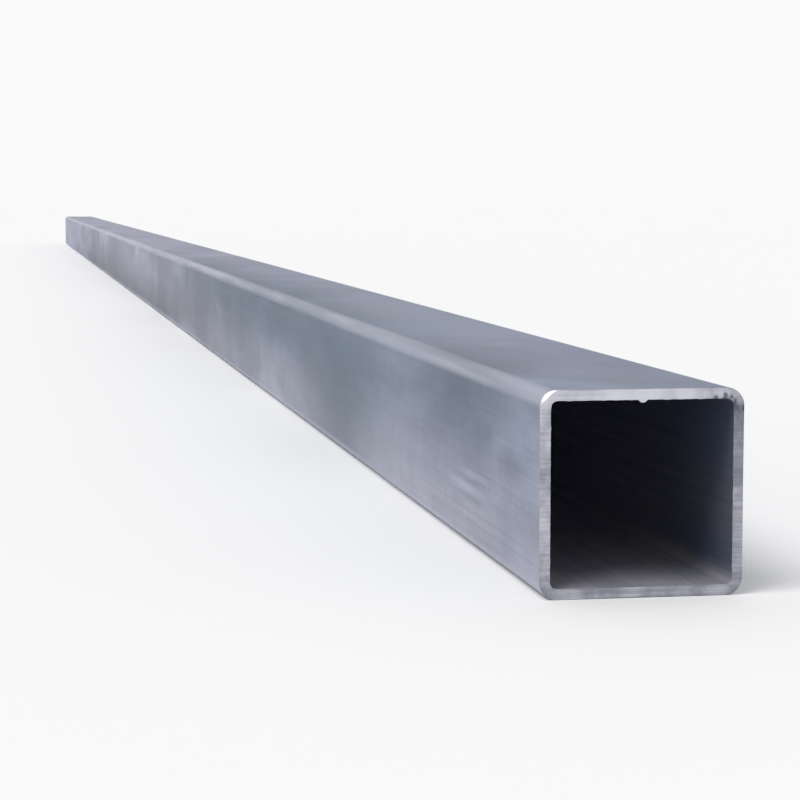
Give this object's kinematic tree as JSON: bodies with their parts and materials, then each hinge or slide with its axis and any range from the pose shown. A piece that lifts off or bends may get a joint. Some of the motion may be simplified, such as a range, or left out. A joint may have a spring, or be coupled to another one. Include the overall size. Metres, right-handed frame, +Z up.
{
  "type": "rectangular tube",
  "caption": "Square hollow steel section with rounded bends, a weld bead inside and plain sawn ends; a stock length to be cut into posts, beams and frames.",
  "frame": {"origin": "middle of the underside, on the floor, half way along the tube", "axes": "+X along the tube towards the end that faces the viewer in the picture, +Z up through the wall with the weld seam"},
  "size_m": [6, 0.08, 0.08],
  "materials": {
    "galvanised_steel": "satin, zinc grey with a blue cast"
  },
  "bodies": {
    "root": {"tube": "galvanised_steel"}
  },
  "joints": []
}
